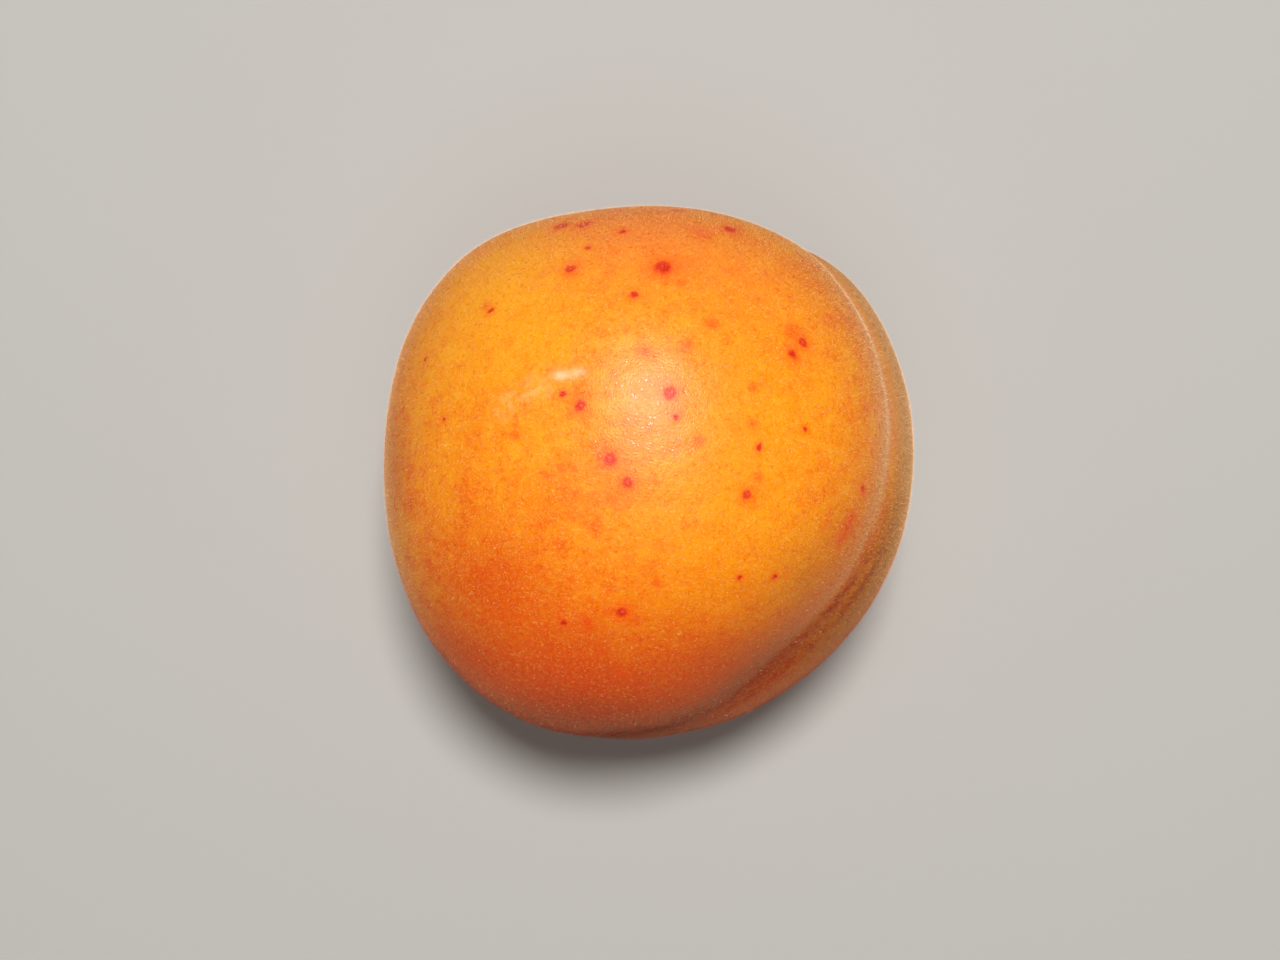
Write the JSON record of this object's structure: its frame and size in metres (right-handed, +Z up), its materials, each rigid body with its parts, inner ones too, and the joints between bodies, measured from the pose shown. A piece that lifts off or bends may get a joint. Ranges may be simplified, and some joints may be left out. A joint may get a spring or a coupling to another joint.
{
  "type": "apricot",
  "caption": "Ripe whole apricot lying on its cheek: a rounded downy fruit with a shallow suture down one side, a stalk cavity at one end and a small tip at the other.",
  "frame": {"origin": "middle of the fruit's outline seen from above, on the plane of the small flat spot it rests on", "axes": "+Z up from the surface it rests on, +Y towards the stalk end, +X towards the side with the suture"},
  "size_m": [0.0494, 0.0498, 0.0495],
  "materials": {
    "skin": "thin downy orange fruit skin with small red speckles, soft satin sheen"
  },
  "bodies": {
    "root": {"apricot": "skin"}
  },
  "joints": []
}
